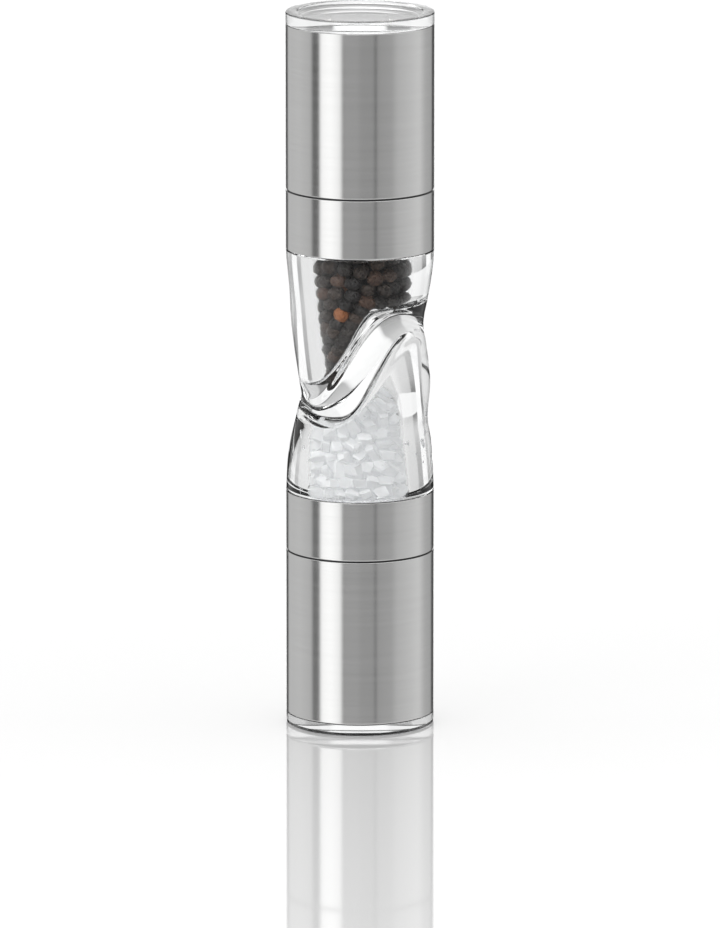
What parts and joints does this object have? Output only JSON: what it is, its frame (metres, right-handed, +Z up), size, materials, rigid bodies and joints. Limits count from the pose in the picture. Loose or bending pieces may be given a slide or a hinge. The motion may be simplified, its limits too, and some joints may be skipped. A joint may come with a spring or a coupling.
{
  "type": "salt and pepper mill",
  "caption": "Slim double-ended mill: clear waved body with a chamber at each end, brushed steel heads that turn ceramic burrs, and clear end caps.",
  "frame": {"origin": "middle of the base, under the salt end cap", "axes": "+Z up along the mill from the salt end to the pepper end; the picture looks along +Y with +X to the right"},
  "size_m": [0.0441, 0.044, 0.2142],
  "materials": {
    "clear_acrylic": "polished clear cast acrylic",
    "brushed_steel": "fine brushing round the tube",
    "bright_steel": "bright drawn steel",
    "black_plastic": "fine moulded texture",
    "white_ceramic": "fired and ground, unglazed",
    "silicone": "smooth translucent silicone",
    "peppercorn": "dry wrinkled skin",
    "rock_salt": "broken translucent crystal"
  },
  "bodies": {
    "body": {"clear_body": "clear_acrylic", "salt_seal": "silicone", "pepper_seal": "silicone"},
    "salt_collar": {"salt_collar_ring": "brushed_steel", "salt_carrier": "black_plastic", "salt_glide_ring": "black_plastic", "salt_shaft": "bright_steel", "salt_shaft_clip": "bright_steel", "salt_spacer": "black_plastic", "salt_spring": "bright_steel", "salt_snap_ring": "bright_steel"},
    "salt_head": {"salt_sleeve": "brushed_steel", "salt_liner": "black_plastic", "salt_ring_burr": "white_ceramic", "salt_burr_retainer": "black_plastic"},
    "salt_grinding_cone": {"salt_cone_burr": "white_ceramic"},
    "salt_fineness_knob": {"salt_knob": "black_plastic"},
    "salt_lid": {"salt_cap": "clear_acrylic"},
    "pepper_collar": {"pepper_collar_ring": "brushed_steel", "pepper_carrier": "black_plastic", "pepper_glide_ring": "black_plastic", "pepper_shaft": "bright_steel", "pepper_shaft_clip": "bright_steel", "pepper_spacer": "black_plastic", "pepper_spring": "bright_steel", "pepper_snap_ring": "bright_steel"},
    "pepper_head": {"pepper_sleeve": "brushed_steel", "pepper_liner": "black_plastic", "pepper_ring_burr": "white_ceramic", "pepper_burr_retainer": "black_plastic"},
    "pepper_grinding_cone": {"pepper_cone_burr": "white_ceramic"},
    "pepper_fineness_knob": {"pepper_knob": "black_plastic"},
    "pepper_lid": {"pepper_cap": "clear_acrylic"}
  },
  "joints": [
    {"name": "salt_collar_pull", "type": "slide", "parent": "body", "child": "salt_collar", "axis": [0, 0, -1], "range_m": [0, 0.016]},
    {"name": "salt_head_turn", "type": "hinge", "parent": "salt_collar", "child": "salt_head", "pos_m": [0, 0, 0.03], "axis": [0, 0, 1], "continuous": true},
    {"name": "salt_cone_shift", "type": "slide", "parent": "salt_collar", "child": "salt_grinding_cone", "axis": [0, 0, 1], "range_m": [-0.0004, 0.0004], "deforming": ["salt_spring"]},
    {"name": "salt_knob_turn", "type": "hinge", "parent": "salt_grinding_cone", "child": "salt_fineness_knob", "pos_m": [0, 0, 0.008], "axis": [0, 0, 1], "range_deg": [-180, 180]},
    {"name": "salt_lid_pull", "type": "slide", "parent": "salt_head", "child": "salt_lid", "axis": [0, 0, -1], "range_m": [0, 0.02]},
    {"name": "pepper_collar_pull", "type": "slide", "parent": "body", "child": "pepper_collar", "axis": [0, 0, 1], "range_m": [0, 0.016]},
    {"name": "pepper_head_turn", "type": "hinge", "parent": "pepper_collar", "child": "pepper_head", "pos_m": [0, 0, 0.1842], "axis": [0, 0, 1], "continuous": true},
    {"name": "pepper_cone_shift", "type": "slide", "parent": "pepper_collar", "child": "pepper_grinding_cone", "axis": [0, 0, -1], "range_m": [-0.0004, 0.0004], "deforming": ["pepper_spring"]},
    {"name": "pepper_knob_turn", "type": "hinge", "parent": "pepper_grinding_cone", "child": "pepper_fineness_knob", "pos_m": [0, 0, 0.2062], "axis": [0, 0, -1], "range_deg": [-180, 180]},
    {"name": "pepper_lid_pull", "type": "slide", "parent": "pepper_head", "child": "pepper_lid", "axis": [0, 0, 1], "range_m": [0, 0.02]}
  ],
  "couplings": [
    {"joint": "salt_knob_turn", "follows": "salt_cone_shift", "rad_per_m": 7854},
    {"joint": "pepper_knob_turn", "follows": "pepper_cone_shift", "rad_per_m": 7854}
  ]
}
